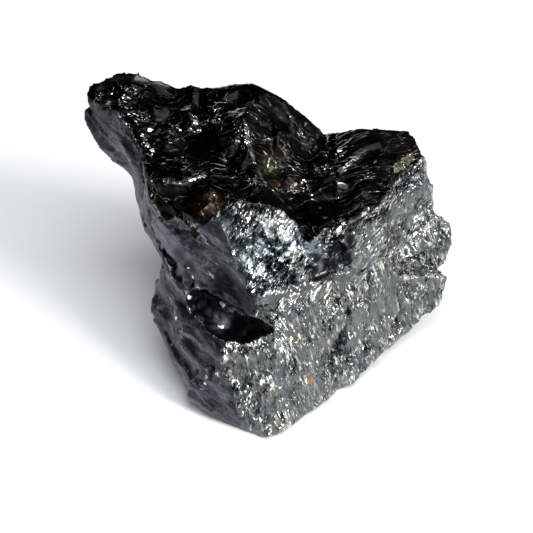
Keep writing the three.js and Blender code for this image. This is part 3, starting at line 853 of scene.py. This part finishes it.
def shared_patterns(tree):
    """What every finish reads, as one bundle: the skin's numbers, the shares of the three finishes with
    ragged borders, broad patches, clumps of flakes, and the ways, splinters and fine lines of the glass."""
    skin = SimpleNamespace()
    for name in SKIN_NUMBERS:
        setattr(skin, name, Value(put("Attribute", tree=tree, attribute_name=name).outputs["Fac"]))
    skin.away = Value(put("Attribute", tree=tree, attribute_name="away").outputs["Vector"])
    skin.where = Value(put("TexCoord", tree=tree).outputs["Object"])
    skin.ragged = mapped(noise(skin.where, RAGGED_SIZE), 0.3, 0.7, -0.25, 0.25)
    skin.glassy = mapped(skin.glassy + skin.ragged, 0.4, 0.6)
    skin.satin = mapped(skin.satin + skin.ragged * 1.6, 0.2, 0.8) * fading(skin.glassy)
    skin.sparkling = fading(skin.glassy + skin.satin)
    skin.open_glass = skin.glassy * fading(skin.cavity, 0.03)
    skin.patch = noise(skin.where, PATCH_SIZE, 3.0)
    skin.clumps = mapped(noise(skin.where, CLUMP_SIZE, 3.0), 0.36, 0.64)
    skin.bursts = mapped(skin.glitter, 0.5, 0.95)
    skin.stir = fading(skin.calm, 0.1)

    on_shoulder = maths("GREATER_THAN", skin.shoulder, 0.5)
    skin.hackles, skin.long_run, skin.straight_run = (
        blend(on_shoulder, *(drawn_out(skin.where, run, stretch) for run in (GLASS_RUN, SHOULDER_RUN)))
        for stretch in (HACKLE_STRETCH, LONG_STRETCH, RULED_STRETCH)
    )
    skin.splinters, _ = flakes(skin.long_run, THREAD)
    skin.splinter_shade = channel(skin.splinters, "X")
    quiet = fading(maths("MAXIMUM", skin.calm * 0.85, skin.dim), 0.1)
    ridge_lines = lines(skin.long_run, *RIDGE_LINES) * (skin.bursts * 0.7 + 0.3) * quiet
    skin.cross_lines = lines(skin.hackles, *CROSS_LINES) * quiet
    skin.both_lines = ridge_lines + skin.cross_lines
    return skin


def sparkling_fracture(skin):
    """Three sizes of flakes, each flake with its own shade, slant and lean, and smooth plates between the
    clumps of flakes. Gives the colour and the leans."""
    # The grain runs one way low on the front and another way high up.
    high_up = maths("GREATER_THAN", skin.turned + skin.patch * 1.8 + skin.ragged * 0.5, 1.4)
    grain = blend(high_up, *(drawn_out(skin.where, run, GRAIN_STRETCH) for run in (GRAIN_LOW, GRAIN_HIGH)))
    fine, _ = flakes(grain, FINE)
    middling, middling_slant = flakes(grain, MIDDLING)
    coarse, coarse_slant = flakes(grain, COARSE)

    # The shades differ more where the flakes glitter, are torn or stand on the bulge, and less where calm.
    rough_share = skin.bulge + skin.crest
    contrast = (mapped(skin.glitter, 0.0, 1.0, 0.5, 1.15) + skin.crest * 0.4) * fading(skin.calm, 0.5)
    shade = (
        channel(fine, "X") * 0.40 + channel(middling, "X") * 0.36 + channel(coarse, "X") * 0.24
        + middling_slant * 0.20 + coarse_slant * 0.25
    )
    shade = (shade - 0.5) * contrast
    shade = maths("MAXIMUM", shade, shade * (rough_share * 0.45 + 0.55))

    # The bulge has rounder flakes, and the patches, blotches and single places are lighter or darker.
    blobs, blob_slant = flakes(drawn_out(skin.where, BULGE_RUN, BLOB_STRETCH), COARSE)
    blob = mapped(channel(blobs, "X"), 0.0, 1.0, -0.3, 0.3) + blob_slant * 0.12
    blotch = noise(drawn_out(skin.where, BULGE_RUN, BLOTCH_STRETCH), BLOTCH_SIZE)
    # Painted light and shade in this sum: painted glare on the bulge, painted light at the brighter places,
    # painted highlights along the crests, painted highlights on ridges and painted shade in hollows by
    # edge, and painted shade in the dull dark places.
    shade = (
        shade * fading(skin.bulge, 0.6) + skin.bulge * blob + mapped(skin.patch, 0.3, 0.7, 0.41, 0.53)
        + skin.glitter * 0.03 + skin.bulge * mapped(blotch, 0.4, 0.62, -0.14, 0.12) + skin.glare * 0.24
        + skin.bright * 0.09 + skin.worn * 0.32 + skin.edge * 0.05 + skin.dim * -0.34
    )

    warmth = ramp(noise(skin.where, WARMTH_SIZE), WARMTH_TONES)
    # The brightest flakes are painted glints, bluish-white on the bulge as a painted sky reflection.
    colour = blend(skin.bulge, ramp(shade, GRAIN_TONES_AND_GLINTS), ramp(shade, BULGE_TONES_AND_GLINTS))
    strokes = lines(drawn_out(skin.where, PLATE_RUN, PLATE_STRETCH), *STROKES)
    plate = mapped(skin.plate + skin.ragged * 0.6, 0.25, 0.35)
    colour = layered(
        vectors("MULTIPLY", colour, warmth),
        # Painted glints among the dark flakes of the broken crest.
        (skin.crest * 0.8, ramp(shade, CREST_TONES_AND_GLINTS)),
        (plate * mapped(strokes, 0.0, 1.0, 0.8, 0.15), PLATE_BLUE),
        # Painted shade: the shelf turns a flat gray over its flakes.
        (skin.shelf * 0.72, SHELF_SHADE_GRAY),
        # Painted shade: the dull dark places turn darker, except where their flakes are bright.
        (skin.dim * mapped(shade, 0.2, 0.5, 0.9, 0.1), GRAIN_PAINTED_SHADE),
    )
    busy = skin.sparkling * (contrast + rough_share * 0.4)
    return colour, [
        lean_of(fine, busy * 0.9, rarity=True), lean_of(middling, busy * 0.5), lean_of(coarse, busy * 0.3),
    ]


def satin_fracture(skin):
    """Soft folds with fine threads, thin pale lines and dark seams along them, and small dark and pale
    chips. Gives the colour and the leans."""
    folds = drawn_out(skin.where, SATIN_RUN, FOLD_STRETCH)
    threads, _ = flakes(folds, THREAD)
    # Painted light: the brighter places, and by edge painted highlights on ridges and painted shade in
    # hollows.
    soft = (
        noise(folds, FOLD_SIZE, 3.0) * 0.92 + channel(threads, "X") * 0.08 + skin.edge * 0.07
        + skin.bright * 0.14
    )
    flecks, _ = flakes(drawn_out(skin.where, SATIN_RUN, FLECK_STRETCH), FLECK)
    in_clumps = mapped(skin.clumps, 0.2, 0.7)
    colour = layered(
        ramp(soft, SATIN_TONES),
        (lines(folds, *FOLD_LINES) * in_clumps * 0.5, FOLD_PALE),
        (lines(folds, *SEAM_LINES) * 0.75, SEAM_DARK),
        (mapped(channel(flecks, "X"), 0.9, 0.94) * in_clumps * 0.65, CHIP_DARK),
        (mapped(channel(flecks, "Y"), 0.975, 0.985) * skin.clumps * 0.8, CHIP_PALE),
        # Painted shade in the dull dark places.
        (skin.dim * 0.7, SATIN_PAINTED_SHADE),
    )
    return colour, [
        streaks(folds, 1.1 * MM, skin.satin * 0.4, 3.0), lean_of(threads, skin.satin * 0.2, rarity=True),
    ]


def glassy_fracture(skin):
    """Near-black glass with thin ridges and crests that carry painted highlights, fine rules and rare
    splinters painted as bright glints, and the dull hollow of the cavity with its saddle. Gives the colour
    and the leans."""
    glint = maths("GREATER_THAN", skin.splinter_shade, mapped(skin.glitter, 0.5, 1.0, 0.997, 0.9))
    glint = glint * skin.open_glass * mapped(skin.clumps, 0.3, 0.7) * skin.stir
    rules = lines(skin.straight_run, *RULES) * (skin.ruled * skin.clumps)
    saddle = skin.saddle * mapped(skin.clumps, 0.0, 0.6, 0.4, 1.0)
    hollow = ramp(noise(skin.where, HOLLOW_SIZE), HOLLOW_TONES)
    colour = layered(
        ramp(skin.patch, GLASS_TONES),
        (skin.haze * 0.6, HAZE_BROWN),
        (skin.calm * 0.7, GLASS_CALM),
        # Painted shade in the dull dark places of the glass.
        (skin.dim * 0.8, GLASS_PAINTED_SHADE),
        (rules * 0.55, RULE_GRAY),
        # Painted reflection on the smooth slivers along the horn's back rim.
        (skin.sliver * 0.7, SLIVER_REFLECTION_GRAY),
        # Painted highlights along the thin ridges and cross lines.
        (skin.both_lines * mapped(skin.clumps, 0.2, 0.8, 0.1, 1.0) * 0.6, RIDGE_HIGHLIGHT_PALE),
        # Painted highlight along the raised crests.
        (skin.worn * mapped(skin.clumps, 0.1, 0.8, 0.15, 0.85), CREST_HIGHLIGHT_PALE),
        # Painted glints on rare splinters.
        (glint, PAINTED_SPLINTER_GLINT),
        (skin.cavity, blend(saddle, hollow, SADDLE_GRAY)),
    )

    # Hackles, and fans of them that spread from where each shell of the fracture began.
    hackly = skin.open_glass * skin.clumps * (skin.stir * (skin.bursts + 0.15))
    fan = skin.open_glass * mapped(skin.patch, 0.45, 0.6, 0.0, 0.28)
    return colour, [
        streaks(skin.hackles, 0.4 * MM, hackly * 0.3, 3.0),
        lean_of(skin.splinters, glint * 0.9),
        streaks(vectors("NORMALIZE", skin.away), FAN_WIDTH, fan),
    ]


def stained(skin, colour):
    """The colour with its stains, broken up by the splinters, and the single bright glints."""
    for name, low, high, share, stain in STAINS:
        spot = mapped(getattr(skin, name) + skin.ragged * 0.5, low, high)
        colour = blend(spot * mapped(skin.splinter_shade, 0.1, 0.8, 0.25, share), colour, stain)
    return blend(dots(skin.where, GLINTS), colour, GLINT_WHITE)


def raised_lines(skin):
    """The fine ridges raised along the fracture, as the surface's normal."""
    bump = put("Bump", tree=skin.where.tree)
    height = skin.both_lines * skin.open_glass + skin.cross_lines * (skin.satin * 0.6)
    feed(bump, {"Strength": 1.0, "Distance": RIDGE_HEIGHT, "Height": height})
    return Value(bump.outputs["Normal"])


def shungite():
    """Metallic black carbon: glassy, satin and sparkling fracture by attribute, each with its own colour,
    gloss and fine leans of the surface, and a few brown, green and straw-coloured stains. Its colour also
    holds painted glints, highlights, reflection and shade."""
    material = bpy.data.materials.new("shungite")
    material.use_nodes = True
    tree = material.node_tree
    skin = shared_patterns(tree)
    grain_colour, grain_leans = sparkling_fracture(skin)
    satin_colour, satin_leans = satin_fracture(skin)
    glass_colour, glass_leans = glassy_fracture(skin)
    colour = layered(grain_colour, (skin.satin, satin_colour), (skin.glassy, glass_colour))
    normal = raised_lines(skin)
    for lean in (*grain_leans, *satin_leans, *glass_leans):
        normal = vectors("ADD", normal, lean)
    feed(tree.nodes["Principled BSDF"], {
        "Base Color": stained(skin, colour),
        "Roughness": skin.glassy * 0.15 + skin.satin * 0.38 + skin.sparkling * 0.25 + skin.cavity * 0.3,
        "Normal": vectors("NORMALIZE", normal),
        "Metallic": 1.0,
    })
    return material


def floor():
    """A pale, plain floor that fills the view."""
    half = FLOOR_HALF
    mesh = bpy.data.meshes.new("floor")
    corners = [(-half, -half, 0), (half, -half, 0), (half, half, 0), (-half, half, 0)]
    mesh.from_pydata(corners, [], [(0, 1, 2, 3)])
    piece = bpy.data.objects.new("floor", mesh)
    bpy.context.collection.objects.link(piece)
    material = bpy.data.materials.new("pale_floor")
    material.use_nodes = True
    shader = material.node_tree.nodes["Principled BSDF"]
    feed(shader, {"Base Color": FLOOR_WHITE, "Roughness": 0.9, "Specular IOR Level": 0.0})
    mesh.materials.append(material)


def aimed(name, data, back):
    """An object for a lamp or a camera, turned so that its back faces that way."""
    holder = bpy.data.objects.new(name, data)
    holder.rotation_mode = "QUATERNION"
    holder.rotation_quaternion = Vector(back).to_track_quat("Z", "Y")
    bpy.context.collection.objects.link(holder)
    return holder


def lights():
    """Broad, soft suns."""
    for name, towards, strength, width, colour in SUNS:
        lamp = bpy.data.lights.new(name, "SUN")
        lamp.energy = strength
        lamp.angle = math.radians(width)
        lamp.color = colour
        aimed(name, lamp, towards)


def room():
    """A dark room behind the stone, growing lighter towards the window at the front right."""
    world = bpy.context.scene.world or bpy.data.worlds.new("room")
    bpy.context.scene.world = world
    world.use_nodes = True
    tree = world.node_tree
    way = Value(put("TexCoord", tree=tree).outputs["Generated"])
    facing = measure("DOT_PRODUCT", way, tuple(Vector(WINDOW_WAY).normalized()))
    feed(tree.nodes["Background"], {"Color": blend(mapped(facing, -0.05, 0.95), ROOM_DARK, ROOM_LIGHT)})


def camera():
    """Looks down at the stone's front, over its upright edge."""
    down = math.radians(LOOK_DOWN)
    back = Vector((0, -math.cos(down), math.sin(down)))
    lens = bpy.data.cameras.new("camera")
    lens.lens = LENS
    holder = aimed("camera", lens, back)
    holder.location = AIM + back * DISTANCE
    bpy.context.scene.camera = holder
    bpy.context.scene.view_settings.view_transform = "Standard"


camera()
nugget = stone()
nugget.data.materials.append(shungite())
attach(nugget, "root")
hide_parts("nugget")
floor()
room()
lights()
